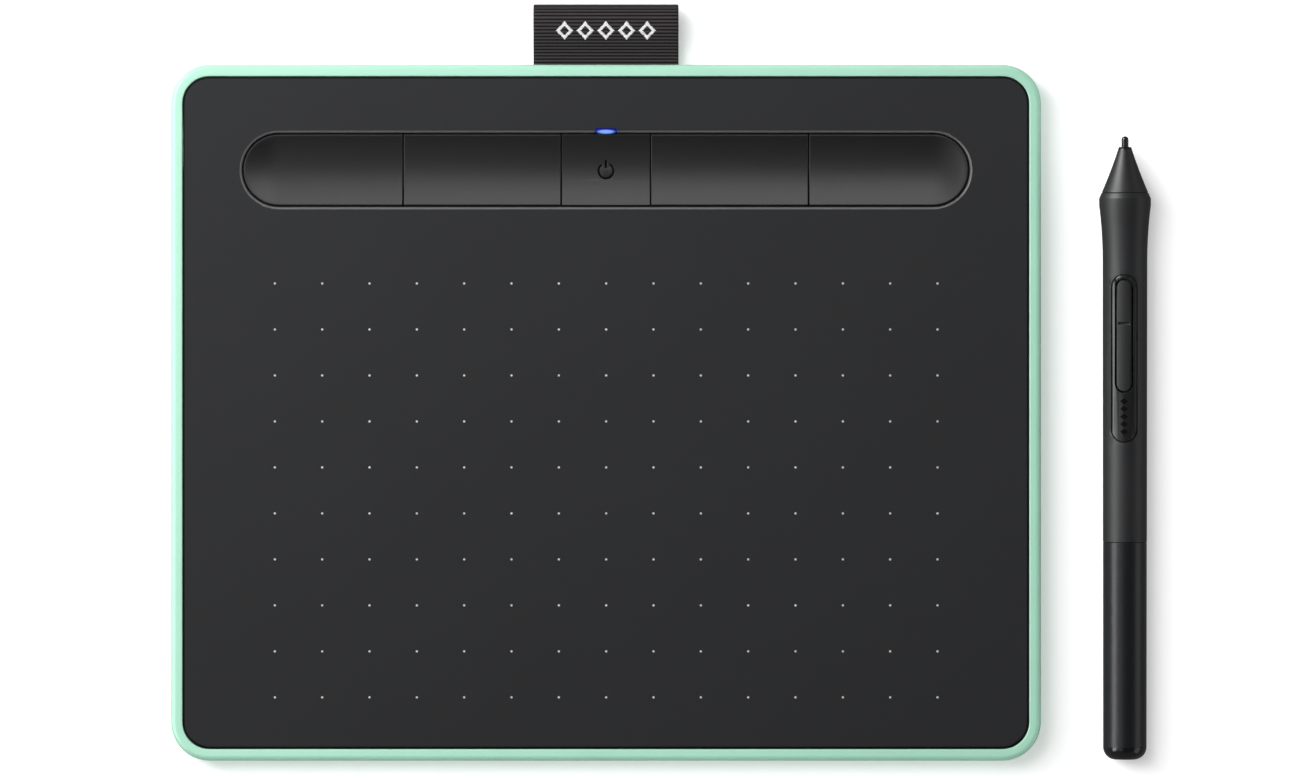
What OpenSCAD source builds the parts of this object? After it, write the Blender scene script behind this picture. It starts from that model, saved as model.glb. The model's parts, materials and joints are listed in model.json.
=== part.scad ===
// Pen drawing tablet with its pen: a slim rimmed case with four express keys and a power
// button in one dished row, a fabric pen loop at the back, and a battery-free pen beside it.
// Millimetres. X is to the right, Y to the back and Z up. The origin is the point on the
// desk under the middle of the case.

/* [Case] */
// Width of the case, left to right
case_w = 200; // [200:1:220]
// Depth of the case, front to back
case_d = 160; // [160:1:180]
// Height of the rim above the desk
case_h = 8.8; // [8.8:0.1:9.4]
// Radius of the case's corners, seen from above
corner_r = 8.9; // [8.6:0.1:10]
// Width of the rim, seen from above
rim_w = 2.7; // [2.4:0.05:2.8]
// Open groove between the rim and the top cover
groove = 0.55; // [0.4:0.05:0.6]
// How far the feet stand out below the case
foot_proud = 0.8; // [0.7:0.05:0.9]

/* [Keys] */
// Length of the whole row of keys
row_l = 166.4; // [164:0.1:168]
// Width of the row of keys, front to back
row_w = 16.1; // [15.8:0.1:16.6]
// Distance from the middle of the case back to the middle of the row
row_y = 55.8; // [55.6:0.1:56.2]
// Width of the power button
power_w = 20.15; // [19:0.05:21]
// Width of each of the two keys beside the power button
inner_key_w = 36; // [34:0.5:37]
// Gap between neighbouring keys
key_gap = 0.35; // [0.3:0.05:0.5]
// How far a key goes down
key_travel = 0.4; // [0.2:0.05:0.4]
// Depth of the hollow that runs along the keys
dish = 1.6; // [1:0.1:1.7]

/* [Sensor] */
// Width of the sensor board
sensor_w = 158; // [150:1:160]
// Depth of the sensor board
sensor_d = 101; // [96:1:101]
// Distance from the middle of the case forward to the middle of the sensor
sensor_y = -18; // [-20:0.5:-18]

/* [Pen loop] */
// Width of the fabric loop
loop_w = 33.4; // [28:0.2:36]
// How far the loop stands out behind the case
loop_out = 14; // [12:0.5:18]
// Thickness of the fabric
loop_t = 0.6; // [0.5:0.05:0.65]

/* [Pen] */
// Length of the pen, nib included
pen_l = 143.4; // [141:0.1:150]
// Radius at the flare in front of the grip
flare_r = 5.96; // [5.8:0.01:6.1]
// Radius of the grip, just behind the flare
grip_r = 5.13; // [5.1:0.01:5.2]
// Radius where the rear barrel begins
split_r = 5.06; // [5:0.01:5.1]
// Radius at the rear end
rear_r = 5; // [4.95:0.01:5]
// Radius of the nib
nib_r = 0.8; // [0.7:0.05:0.85]
// How far the nib goes in when it is pressed
nib_travel = 0.5; // [0.2:0.05:0.5]
// Distance from the middle of the case to the pen's axis
pen_x = 119.4; // [116:0.2:160]
// Distance from the middle of the case back to the tip of the nib
pen_tip_y = 63.6; // [40:0.1:80]

/* [Hidden] */
$fn = 96;
eps = 0.01;

// Colours
mint = "#b4ecd2";
charcoal = "#333436";
key_black = "#3c3a3b";
rubber_grey = "#4a4b4d";
steel = "#b9bcc0";
board_green = "#2f6b4a";
chip_black = "#1d1e20";
copper = "#b0703a";

// Heights of the case, from the desk up
floor_t = 1.6;
inside_z = foot_proud + floor_t;
plate_top = case_h - 0.1;
plate_t = 1.6;
plate_z = plate_top - plate_t;
board_lift = 0.2;
board_t = 0.8;
board_z = inside_z + board_lift;
board_top = board_z + board_t;
adhesive_t = 0.1;
sensor_t = 0.5;
shield_t = 0.4;
sensor_z = plate_z - adhesive_t - sensor_t;
shield_z = sensor_z - shield_t;

// Case outline
bottom_fillet = 3;
top_fillet = 1.3;
lip_chamfer = 0.2;
cover_w = case_w - 2 * (rim_w + groove);
cover_d = case_d - 2 * (rim_w + groove);
cover_r = corner_r - rim_w - groove;
ledge = groove - 0.1;
ledge_t = 0.6;
inner_x = case_w / 2 - rim_w;
inner_y = case_d / 2 - rim_w;

// Feet, and the case screws that they cover
foot_l = 24;
foot_w = 8;
foot_x = case_w / 2 - 16;
foot_y = case_d / 2 - 10;
pocket = 0.6;
screw_x = case_w / 2 - 10;
boss_r = 3.2;
boss_top = 4.3;
case_head_r = 1.8;
case_head_t = 1;
case_shank_r = 0.85;
top_boss_r = 2.6;
pilot_depth = 2.3;

// Snap tabs of the top cover: position along the edge, for the front, back and both sides
FRONT_TABS = [-60, 0, 60];
BACK_TABS = [-50, 50];
SIDE_TABS = [-40, 20];
tab_w = 6;
tab_t = 0.9;
tab_bottom = 4.6;
barb = 0.3;
barb_h = 0.8;

// Key row
row_gap = 0.45;
aperture_l = row_l + 2 * row_gap;
aperture_w = row_w + 2 * row_gap;
aperture_round = 0.9;
key_top = plate_top - 0.2;
dish_r = (row_w * row_w / 4 + dish * dish) / (2 * dish);
dish_z = key_top - dish + dish_r;
key_bottom = key_top - dish - 1.1;
flange = 0.9;
flange_t = 0.8;
flange_top = plate_z - 0.1;
half_power = power_w / 2;
inner_x0 = half_power + key_gap;
inner_x1 = inner_x0 + inner_key_w;
outer_x0 = inner_x1 + key_gap;
SPANS = [
    [-row_l / 2, -outer_x0], [-inner_x1, -inner_x0], [-half_power, half_power],
    [inner_x0, inner_x1], [outer_x0, row_l / 2]
];
chassis_t = 1;
chassis_z = board_top + 0.8;
chassis_l = 182;
chassis_d = 21;
chassis_screw_x = 88;
actuator_r = 1.5;
guide_r = 1.2;
guide_gap = 0.08;
post_bottom = chassis_z + 0.35;
switch_w = 4.5;
switch_t = 0.7;
plunger_r = 0.8;
plunger_gap = 0.05;
plunger_z = board_top + 0.55;
key_board_l = 168;
key_board_d = 20;

// Power symbol on the power button
symbol_r = 1.7;
symbol_line = 0.5;
symbol_depth = 0.3;

// Status light on the rear edge of the key row
light_w = 5;
light_d = 1.4;
light_y = row_y + aperture_w / 2 + 0.6;
led_t = 0.6;

// Electronics in the case
main_x0 = -97;
main_x1 = -45;
main_y0 = 10;
main_y1 = 44;
strip_w = 5.5;
strip_y1 = 66.4;
usb_y = 62;
usb_w = 7.5;
usb_h = 2.45;
usb_l = 5;
usb_wall = 0.3;
usb_z = board_top;
usb_recess_l = 11;
usb_recess_h = 4.25;
battery = [55, 40, 3.2];
battery_at = [30, -20];
battery_pad_t = 0.3;
inner_shank_r = 0.65;
inner_head_r = 1.5;
inner_head_t = 0.6;
inner_screw_tip = foot_proud + 0.6;
ribbon_t = 0.15;
sensor_ribbon_x = -60;
sensor_ribbon_w = 14;
connector_y0 = 36;
connector_y1 = 39.5;
connector_t = 1.2;
key_ribbon_x = -73;
key_ribbon_w = 5;
BOARD_SCREWS = [
    [-81, row_y - 6.5], [-81, row_y + 6.5], [81, row_y - 6.5], [81, row_y + 6.5],
    [-94, 14], [-48.5, 14], [-48.5, 40.5], [-94, 40.5]
];
// Support ribs under the shield plate, as [fixed coordinate, from, to]
RIBS_ALONG_X = [[-62, -75, 75], [-47, -75, 75], [6, -40, 75], [18, -40, 75], [30, -40, 75]];
RIBS_ALONG_Y = [[-70, -62, 4], [-48, -62, 4], [-26, -62, 30], [-8, -62, 30], [68, -62, 30]];
rib_t = 1.2;

// Pen loop
loop_z = 4.6;
loop_nose_r = 3.6;
loop_slot_w = loop_w + 0.6;
loop_slot_h = 2 * loop_t + 0.2;
anchor_y1 = inner_y - 0.15;
anchor_y0 = anchor_y1 - 2.1;
anchor_h = 3;
hem_d = 1.8;
hem_h = 3;

// Pen, along its own axis: 0 is the tip of the nib, y is up
nose_z = 2.5;
nose_tip_r = 1.42;
nose_curve = 110;
nose_end = 12.92;
nose_spigot = 3.5;
flare_z = 14.3;
flare_curve = 105;
grip_z = 29;
seam = 0.1;
seam_stop = 0.08; // a step that all but closes each seam from inside
split_z = 93.3;
rear_spigot = 8;
barrel_bore_r = 4;
spigot_r = 3.87;
spigot_bore_r = 3.2;
rear_bore_r = 3.95;
shoulder_t = 0.4;
core_bore_r = 0.95;
nib_hole_r = nib_r + 0.08;
nib_l = 25;
chuck_z = 20.5;
chuck_end = 29;
sensor_front = 30;
sensor_end = 35;
sensor_r = 3.6;
pen_roll = 5; // how far the side switch leans to the left
bezel_l = 38.7;
bezel_w = 6.1;
bezel_z = 51.1;
bezel_proud = 0.18;
bezel_gap = 0.2;
rocker_l = 25.4;
rocker_w = 3.36;
rocker_z = 45.9;
rocker_proud = 0.38;
rocker_gap = 0.36;
rocker_floor = 4.2;
groove_z = 43.1;
pin_y = 3.1;
pin_r = 0.5;
pin_gap = 0.05;
ear_z = 2.4;
dome_arm = 8;
dome_r = 1.3;
dome_top = 0.9;
dome_gap = 0.3;
pen_board_w = 5.6;
pen_board_z0 = 35.5;
pen_board_z1 = 88;
chassis_r = 3.95;
chassis_bore_r = 3.15;
chassis_end = 92.6;
holder_r = 3.7;
holder_end = 126;
spare_l = 22.8;
spare_z = 104.6;
spare_ring_r = 1.8;
spare_gap = 0.05;
end_l = 2.9;
end_plug = 6;
puller_r = 0.85;
puller_depth = 6;

// Where the flare's full radius ends and the hollow of the grip begins
flare_contact = grip_z - sqrt(pow(flare_curve, 2) - pow(flare_curve - flare_r + grip_r, 2));

// The pen lies on its flare and on its rear end, so its axis falls a little to the rear
rear_contact = pen_l - end_l;
pen_tilt = atan((flare_r - rear_r) / (rear_contact - flare_contact));
pen_axis_h = flare_r * cos(pen_tilt) + flare_contact * sin(pen_tilt);

// ---- Shapes that repeat ----

module rrect(w, d, r) {
    square([w - 2 * r, d], center = true);
    square([w, d - 2 * r], center = true);
    for (sx = [-1, 1], sy = [-1, 1])
        translate([sx * (w / 2 - r), sy * (d / 2 - r)]) circle(r);
}

module pill(l, w) {
    square([l - w, w], center = true);
    for (s = [-1, 1]) translate([s * (l - w) / 2, 0]) circle(w / 2);
}

module quarter(r) {
    intersection() {
        circle(r);
        square(r);
    }
}

// A box that stands at height z0, centred on [x, y]
module box(x, y, w, d, z0, z1) {
    translate([x - w / 2, y - d / 2, z0]) cube([w, d, z1 - z0]);
}

module post(x, y, r, z0, z1) {
    translate([x, y, z0]) cylinder(r = r, h = z1 - z0);
}

module tube(r_out, r_in, z0, z1) {
    translate([0, 0, z0]) difference() {
        cylinder(r = r_out, h = z1 - z0);
        translate([0, 0, -eps]) cylinder(r = r_in, h = z1 - z0 + 2 * eps);
    }
}

// Sweeps a section round the case; the section's x starts at the corners' centres
module around_case() {
    run_x = case_w - 2 * corner_r;
    run_y = case_d - 2 * corner_r;
    for (q = [0:3]) {
        run = q % 2 == 0 ? run_y : run_x;
        out = q % 2 == 0 ? run_x / 2 : run_y / 2;
        rotate(90 * q) translate([out, run / 2, 0]) {
            rotate([90, 0, 0]) linear_extrude(run) children();
            rotate_extrude(angle = 90) children();
        }
    }
}

module at_corners(x, y) {
    for (sx = [-1, 1], sy = [-1, 1]) translate([sx * x, sy * y, 0]) children();
}

// ---- Case ----

module wall_section() {
    inner = corner_r - rim_w;
    waist = foot_proud + bottom_fillet;
    shoulder = case_h - top_fillet;
    difference() {
        union() {
            translate([corner_r - bottom_fillet, waist]) mirror([0, 1]) quarter(bottom_fillet);
            translate([inner, waist]) square([rim_w, shoulder - waist]);
            translate([inner, shoulder]) square([rim_w - top_fillet, top_fillet]);
            translate([corner_r - top_fillet, shoulder]) quarter(top_fillet);
        }
        translate([inner - 1, inside_z]) square([1, case_h]);
        translate([inner, case_h]) rotate(45) square(lip_chamfer * sqrt(2), center = true);
    }
}

module snap_recesses() {
    recess = barb + 0.15;
    for (x = FRONT_TABS)
        box(x, -inner_y, tab_w + 1, 2 * recess, tab_bottom - 0.3, tab_bottom + barb_h + 0.3);
    for (x = BACK_TABS)
        box(x, inner_y, tab_w + 1, 2 * recess, tab_bottom - 0.3, tab_bottom + barb_h + 0.3);
    for (s = [-1, 1], y = SIDE_TABS)
        box(s * inner_x, y, 2 * recess, tab_w + 1, tab_bottom - 0.3, tab_bottom + barb_h + 0.3);
}

module floor_features() {
    at_corners(screw_x, foot_y) post(0, 0, boss_r, inside_z, boss_top);
    for (s = [-1, 1]) post(s * chassis_screw_x, row_y, 1.8, inside_z, board_top);
    for (p = BOARD_SCREWS) post(p.x, p.y, 1.8, inside_z, board_z);
    for (r = RIBS_ALONG_X)
        box((r[1] + r[2]) / 2, r[0], r[2] - r[1], rib_t, inside_z, shield_z);
    for (r = RIBS_ALONG_Y)
        box(r[0], (r[1] + r[2]) / 2, rib_t, r[2] - r[1], inside_z, shield_z);
    for (s = [-1, 1])
        box(s * (loop_slot_w / 2 + 3), anchor_y0 + 1, 1.2, 4, inside_z, loop_z + 1.5);
}

module battery_bay() {
    translate([battery_at.x, battery_at.y, inside_z]) linear_extrude(2.5) difference() {
        square([battery.x + 3, battery.y + 3], center = true);
        square([battery.x + 0.6, battery.y + 0.6], center = true);
    }
}

module usb_recess() {
    translate([-case_w / 2 - 1, usb_y, usb_z + usb_h / 2]) rotate([90, 0, 90])
        linear_extrude(rim_w + 1.5) pill(usb_recess_l, usb_recess_h);
}

module bottom_cover() {
    inset = 2 * bottom_fillet;
    color(mint) difference() {
        union() {
            around_case() wall_section();
            translate([0, 0, foot_proud]) linear_extrude(floor_t)
                rrect(case_w - inset, case_d - inset, corner_r - bottom_fillet);
            difference() {
                floor_features();
                box(battery_at.x, battery_at.y, battery.x + 1, battery.y + 1, inside_z, case_h);
            }
            battery_bay();
        }
        at_corners(foot_x, foot_y)
            translate([0, 0, foot_proud - 1]) linear_extrude(pocket + 1) pill(foot_l, foot_w);
        at_corners(screw_x, foot_y) {
            post(0, 0, 2, foot_proud, foot_proud + 2.4);
            post(0, 0, 1.05, foot_proud, boss_top + 1);
        }
        for (s = [-1, 1])
            post(s * chassis_screw_x, row_y, inner_shank_r + 0.05, inner_screw_tip - 0.2, 5);
        for (p = BOARD_SCREWS)
            post(p.x, p.y, inner_shank_r + 0.05, inner_screw_tip - 0.2, 5);
        usb_recess();
        box(0, case_d / 2, loop_slot_w, 2 * rim_w + 1,
            loop_z - loop_slot_h / 2, loop_z + loop_slot_h / 2);
        snap_recesses();
    }
}

// One tab of the top cover, on its +X edge
module snap_tab(edge) {
    translate([edge - tab_t, -tab_w / 2, tab_bottom])
        cube([tab_t, tab_w, plate_z - tab_bottom + eps]);
    translate([edge - eps, tab_w / 2, tab_bottom]) rotate([90, 0, 0]) linear_extrude(tab_w)
        polygon([[0, 0], [0, barb_h], [groove + barb, barb_h - 0.2], [groove + barb, 0.4]]);
}

// Section of what is cut away above the rounded edge of the opening, x from its middle line
module aperture_edge() {
    half = aperture_w / 2;
    centre = [half + aperture_round - 0.05, plate_top - aperture_round + 0.03];
    difference() {
        translate([half - 1, centre.y]) square([centre.x - half + 1, aperture_round + 1]);
        translate(centre) circle(aperture_round);
    }
}

module aperture() {
    straight = aperture_l - aperture_w;
    translate([0, row_y, plate_z - 1]) linear_extrude(plate_t + 2) pill(aperture_l, aperture_w);
    for (s = [-1, 1]) {
        translate([s * straight / 2, row_y, 0]) rotate_extrude() aperture_edge();
        translate([-straight / 2, row_y, 0]) rotate([90, 0, 90]) linear_extrude(straight)
            mirror([s > 0 ? 0 : 1, 0]) aperture_edge();
    }
}

module top_cover() {
    skirt_r = cover_r - 1;
    color(charcoal) difference() {
        union() {
            translate([0, 0, plate_z]) linear_extrude(plate_t) rrect(cover_w, cover_d, cover_r);
            // Ledge that closes the groove from below
            translate([0, 0, plate_z]) linear_extrude(ledge_t)
                rrect(cover_w + 2 * ledge, cover_d + 2 * ledge, cover_r + ledge);
            translate([0, 0, plate_z - 0.9]) linear_extrude(0.9) difference() {
                rrect(cover_w - 2, cover_d - 2, skirt_r);
                rrect(cover_w - 4.4, cover_d - 4.4, skirt_r - 1.2);
            }
            at_corners(screw_x, foot_y) post(0, 0, top_boss_r, boss_top, plate_z);
            for (s = [-1, 1])
                box(0, row_y + s * 10.5, 172, 1, plate_z - 1.7, plate_z);
            for (x = FRONT_TABS) rotate(-90) translate([0, x, 0]) snap_tab(cover_d / 2);
            for (x = BACK_TABS) rotate(90) translate([0, x, 0]) snap_tab(cover_d / 2);
            for (y = SIDE_TABS) {
                translate([0, y, 0]) snap_tab(cover_w / 2);
                rotate(180) translate([0, -y, 0]) snap_tab(cover_w / 2);
            }
        }
        aperture();
        box(0, light_y, light_w, light_d, plate_z - 1, case_h);
        at_corners(screw_x, foot_y)
            post(0, 0, case_shank_r + 0.05, boss_top - 1, boss_top + pilot_depth);
    }
}

module foot(sx, sy) {
    color(rubber_grey) translate([sx * foot_x, sy * foot_y, 0])
        linear_extrude(foot_proud + pocket) pill(foot_l - 0.2, foot_w - 0.2);
}

module case_screws() {
    head_z = foot_proud + 1.4;
    color(steel) at_corners(screw_x, foot_y) {
        post(0, 0, case_head_r, head_z, head_z + case_head_t);
        post(0, 0, case_shank_r, head_z, boss_top + pilot_depth - 0.2);
    }
}

module inner_screws() {
    color(steel) {
        for (p = BOARD_SCREWS) {
            post(p.x, p.y, inner_head_r, board_top, board_top + inner_head_t);
            post(p.x, p.y, inner_shank_r, inner_screw_tip, board_top + inner_head_t);
        }
        for (s = [-1, 1]) translate([s * chassis_screw_x, row_y, 0]) {
            post(0, 0, inner_head_r, chassis_z + chassis_t, chassis_z + chassis_t + inner_head_t);
            post(0, 0, inner_shank_r, inner_screw_tip, chassis_z + chassis_t + inner_head_t);
        }
    }
}

// ---- Keys ----

function key_mid(i) = (SPANS[i][0] + SPANS[i][1]) / 2;
function key_width(i) = SPANS[i][1] - SPANS[i][0];
// The two guide posts of key i, along X
function guides(i) = [for (s = [-1, 1]) key_mid(i) + s * (key_width(i) / 2 - 4)];

// The outline of key i, grown on its outer edges only
module key_outline(i, grow) {
    x0 = i == 0 ? SPANS[i][0] - grow : SPANS[i][0];
    x1 = i == 4 ? SPANS[i][1] + grow : SPANS[i][1];
    intersection() {
        pill(row_l + 2 * grow, row_w + 2 * grow);
        translate([x0, -row_w]) square([x1 - x0, 2 * row_w]);
    }
}

module dish_cutter() {
    straight = row_l - row_w;
    translate([0, row_y, dish_z]) {
        rotate([0, 90, 0]) cylinder(r = dish_r, h = straight, center = true);
        for (s = [-1, 1]) translate([s * straight / 2, 0, 0]) sphere(dish_r);
    }
}

module power_symbol() {
    difference() {
        circle(symbol_r + symbol_line / 2);
        circle(symbol_r - symbol_line / 2);
        translate([0, symbol_r]) square([1.7, 2 * symbol_r], center = true);
    }
    translate([0, symbol_r * 0.95]) square([symbol_line, 1.9], center = true);
}

module key(i) {
    color(key_black) difference() {
        union() {
            translate([0, row_y, key_bottom]) linear_extrude(key_top - key_bottom)
                key_outline(i, 0);
            translate([0, row_y, flange_top - flange_t]) linear_extrude(flange_t)
                key_outline(i, flange);
            post(key_mid(i), row_y, actuator_r, post_bottom, key_bottom + eps);
            for (x = guides(i)) post(x, row_y, guide_r, post_bottom, key_bottom + eps);
        }
        dish_cutter();
        if (i == 2) {
            box(0, row_y + row_w / 2 + 1.02, light_w + 1, 2, 0, case_h);
            translate([0, row_y - 0.2, key_top - dish - symbol_depth]) linear_extrude(3)
                power_symbol();
        }
    }
}

module key_plunger(i) {
    color(rubber_grey) post(key_mid(i), row_y, plunger_r, plunger_z, post_bottom);
}

module key_switch(i) {
    color(chip_black) difference() {
        box(key_mid(i), row_y, switch_w, switch_w, board_top, board_top + switch_t);
        post(key_mid(i), row_y, plunger_r + plunger_gap, board_top + 0.1, board_top + 1);
    }
}

module key_chassis() {
    color(rubber_grey) difference() {
        union() {
            translate([0, row_y, chassis_z]) linear_extrude(chassis_t)
                rrect(chassis_l, chassis_d, 3);
            for (s = [-1, 1]) post(s * chassis_screw_x, row_y, 1.8, board_top, chassis_z);
        }
        for (i = [0:4]) {
            post(key_mid(i), row_y, actuator_r + 0.7, chassis_z - 1, chassis_z + 2);
            for (x = guides(i)) post(x, row_y, guide_r + guide_gap, chassis_z - 1, chassis_z + 2);
        }
        for (s = [-1, 1])
            post(s * chassis_screw_x, row_y, inner_shank_r + 0.15, board_top - 1, chassis_z + 2);
        box(0, light_y, light_w + 0.6, light_d + 0.6, chassis_z - 1, chassis_z + 2);
    }
}

module key_board() {
    color(board_green) difference() {
        translate([0, row_y, board_z]) linear_extrude(board_t)
            rrect(key_board_l, key_board_d, 1);
        for (p = BOARD_SCREWS) post(p.x, p.y, inner_shank_r + 0.15, board_z - 1, board_top + 1);
    }
    // Socket for the ribbon
    color(chip_black) box(key_ribbon_x, main_y1 + 4, key_ribbon_w + 3, 3, board_top, board_top + 0.7);
}

module status_led() {
    color("#dfe8ff") box(0, light_y, 1.6, 0.8, board_top, board_top + led_t);
}

module status_light_pipe() {
    color("#3f66ff") difference() {
        box(0, light_y, light_w, light_d, board_top + led_t + 0.1, plate_top);
        aperture();
    }
}

// ---- Sensor and electronics ----

module sheet_layer(z, t) {
    translate([0, sensor_y, z]) linear_extrude(t) rrect(sensor_w, sensor_d, 1.5);
}

module sensor_adhesive() {
    color("#d8d2b4") sheet_layer(plate_z - adhesive_t, adhesive_t);
}

module sensor_board() {
    tail_d = 5;
    edge = sensor_y + sensor_d / 2;
    color(board_green) {
        sheet_layer(sensor_z, sensor_t);
        box(sensor_ribbon_x, edge + tail_d / 2 - 1, sensor_ribbon_w + 4, tail_d, sensor_z,
            sensor_z + sensor_t);
    }
}

module shield_plate() {
    color(steel) sheet_layer(shield_z, shield_t);
}

module main_board() {
    mid_x = (main_x0 + main_x1) / 2;
    color(board_green) difference() {
        union() {
            box(mid_x, (main_y0 + main_y1) / 2, main_x1 - main_x0, main_y1 - main_y0,
                board_z, board_top);
            box(main_x0 + strip_w / 2, (main_y1 + strip_y1) / 2 - 1, strip_w,
                strip_y1 - main_y1 + 2, board_z, board_top);
        }
        for (p = BOARD_SCREWS) post(p.x, p.y, inner_shank_r + 0.15, board_z - 1, board_top + 1);
    }
}

module main_board_chips() {
    color(chip_black) {
        // Processor, radio module, charger and flash memory
        box(-72, 24, 7, 7, board_top, board_top + 0.9);
        box(-55, 20, 9, 12, board_top, board_top + 1.6);
        box(-87, 20, 5, 5, board_top, board_top + 0.8);
        box(-87, 31, 5, 4, board_top, board_top + 0.8);
        // Connectors for the sensor ribbon, the key ribbon and the battery
        box(sensor_ribbon_x, (connector_y0 + connector_y1) / 2, sensor_ribbon_w + 3,
            connector_y1 - connector_y0, board_top, board_top + connector_t);
        box(key_ribbon_x, main_y1 - 2, key_ribbon_w + 3, 3, board_top, board_top + 0.7);
        box(-48, 27, 4, 6, board_top, board_top + 1.4);
    }
}

module sensor_ribbon() {
    bend_y = 41;
    r_out = (sensor_z - board_top - 0.55) / 2;
    mid_z = sensor_z - r_out;
    tail_y = sensor_y + sensor_d / 2 + 0.2;
    color(copper) translate([sensor_ribbon_x, 0, 0]) {
        box(0, (tail_y + bend_y) / 2, sensor_ribbon_w, bend_y - tail_y, sensor_z - ribbon_t, sensor_z);
        box(0, (connector_y1 + bend_y) / 2, sensor_ribbon_w, bend_y - connector_y1,
            mid_z - r_out, mid_z - r_out + ribbon_t);
        translate([-sensor_ribbon_w / 2, bend_y, mid_z]) rotate([90, 0, 90])
            linear_extrude(sensor_ribbon_w) intersection() {
                difference() {
                    circle(r_out);
                    circle(r_out - ribbon_t);
                }
                translate([0, -r_out]) square([r_out, 2 * r_out]);
            }
    }
}

module key_ribbon() {
    z = board_top + 0.3;
    color(copper)
        box(key_ribbon_x, main_y1 + 1, key_ribbon_w, 3, z, z + ribbon_t);
}

module usb_socket() {
    front = -inner_x + 0.25;
    color(steel) difference() {
        box(front + usb_l / 2, usb_y, usb_l, usb_w, usb_z, usb_z + usb_h);
        translate([front - 1, usb_y - usb_w / 2 + usb_wall, usb_z + usb_wall])
            cube([usb_l + 0.4, usb_w - 2 * usb_wall, usb_h - 2 * usb_wall]);
    }
}

module usb_tongue() {
    front = -inner_x + 0.25;
    color(chip_black) {
        box(front + 2.6, usb_y, 3.6, 5, usb_z + 1.1, usb_z + 1.7);
        box(front + 4.1, usb_y, 0.6, usb_w - 2 * usb_wall, usb_z + usb_wall, usb_z + usb_h - usb_wall);
    }
}

module battery_cell() {
    z = inside_z + battery_pad_t;
    color(steel) translate([battery_at.x, battery_at.y, z]) linear_extrude(battery.z)
        rrect(battery.x, battery.y, 1.6);
}

module battery_pad() {
    color(chip_black)
        box(battery_at.x, battery_at.y, battery.x - 10, battery.y - 10, inside_z,
            inside_z + battery_pad_t);
}

// ---- Pen loop ----

// A teardrop from the case's back face at y = start to the loop's nose
module loop_section(nose_r, start, neck) {
    hull() {
        translate([case_d / 2 + loop_out - loop_nose_r, 0]) circle(nose_r, $fn = 48);
        translate([start, -neck / 2]) square([0.2, neck]);
    }
}

module pen_loop() {
    start = anchor_y0 - hem_d;
    color(key_black) translate([-loop_w / 2, 0, loop_z]) rotate([90, 0, 90]) linear_extrude(loop_w) {
        difference() {
            loop_section(loop_nose_r, case_d / 2, 2 * loop_t);
            loop_section(loop_nose_r - loop_t, case_d / 2 + 1.5, 0.02);
        }
        translate([start, -loop_t]) square([case_d / 2 + 0.1 - start, 2 * loop_t]);
        translate([start, -hem_h / 2]) square([hem_d, hem_h]);
    }
}

module loop_anchor() {
    color(chip_black) difference() {
        box(0, (anchor_y0 + anchor_y1) / 2, loop_slot_w + 4, anchor_y1 - anchor_y0,
            loop_z - anchor_h / 2, loop_z + anchor_h / 2);
        box(0, (anchor_y0 + anchor_y1) / 2, loop_slot_w, 4, loop_z - loop_slot_h / 2,
            loop_z + loop_slot_h / 2);
    }
}

// ---- Pen ----

module at_pen() {
    translate([pen_x, pen_tip_y, pen_axis_h]) rotate([90 + pen_tilt, 0, 0]) rotate(pen_roll)
        children();
}

// A pill-shaped column that stands up out of the pen, centred at z along it
module pen_pill(l, w, z, y0, y1) {
    translate([0, y0, z]) rotate([-90, 90, 0]) linear_extrude(y1 - y0) pill(l, w);
}

module pen_box(w, y0, y1, z0, z1) {
    translate([-w / 2, y0, z0]) cube([w, y1 - y0, z1 - z0]);
}

module nib() {
    color(rubber_grey) at_pen() rotate_extrude() {
        translate([0, nib_r]) mirror([0, 1]) quarter(nib_r);
        translate([0, nib_r]) square([nib_r, nib_l - nib_r]);
    }
}

module nib_chuck() {
    color(steel) at_pen() difference() {
        post(0, 0, 1.6, chuck_z, chuck_end);
        post(0, 0, nib_r + 0.02, chuck_z - 1, nib_l);
    }
}

// Centre of the arc of radius r through p and q that lies on the right of the way from p to q
function arc_centre(p, q, r) =
    let(d = q - p, len = norm(d), rise = sqrt(r * r - len * len / 4) / len)
    (p + q) / 2 + rise * [d.y, -d.x];

// Half the outline of the pen in front of the rear barrel, as one solid profile
module pen_profile() {
    tip = [nose_tip_r, nose_z];
    crest = [flare_r, flare_z];
    difference() {
        polygon([
            [0, nose_z], tip, crest, [flare_r, grip_z], [grip_r, grip_z], [split_r, split_z],
            [0, split_z]
        ]);
        translate(arc_centre(tip, crest, nose_curve)) circle(nose_curve, $fn = 256);
        translate([grip_r + flare_curve, grip_z]) circle(flare_curve, $fn = 256);
    }
}

// A rectangle in a revolved profile, from radius r0 to r1 and from z0 to z1
module band(r0, r1, z0, z1) {
    translate([r0, z0]) square([r1 - r0, z1 - z0]);
}

module nose_cone() {
    cavity_z = 9;
    cavity_r = 2.9;
    end = nose_end + nose_spigot;
    color(charcoal) at_pen() rotate_extrude() difference() {
        union() {
            intersection() {
                pen_profile();
                band(0, 10, 0, nose_end);
            }
            band(0, barrel_bore_r - 0.05, nose_end, end);
            band(0, 5.2, nose_end, nose_end + seam_stop);
        }
        band(-1, nib_hole_r, 0, cavity_z);
        band(-1, cavity_r, cavity_z, end + 1);
    }
}

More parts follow.
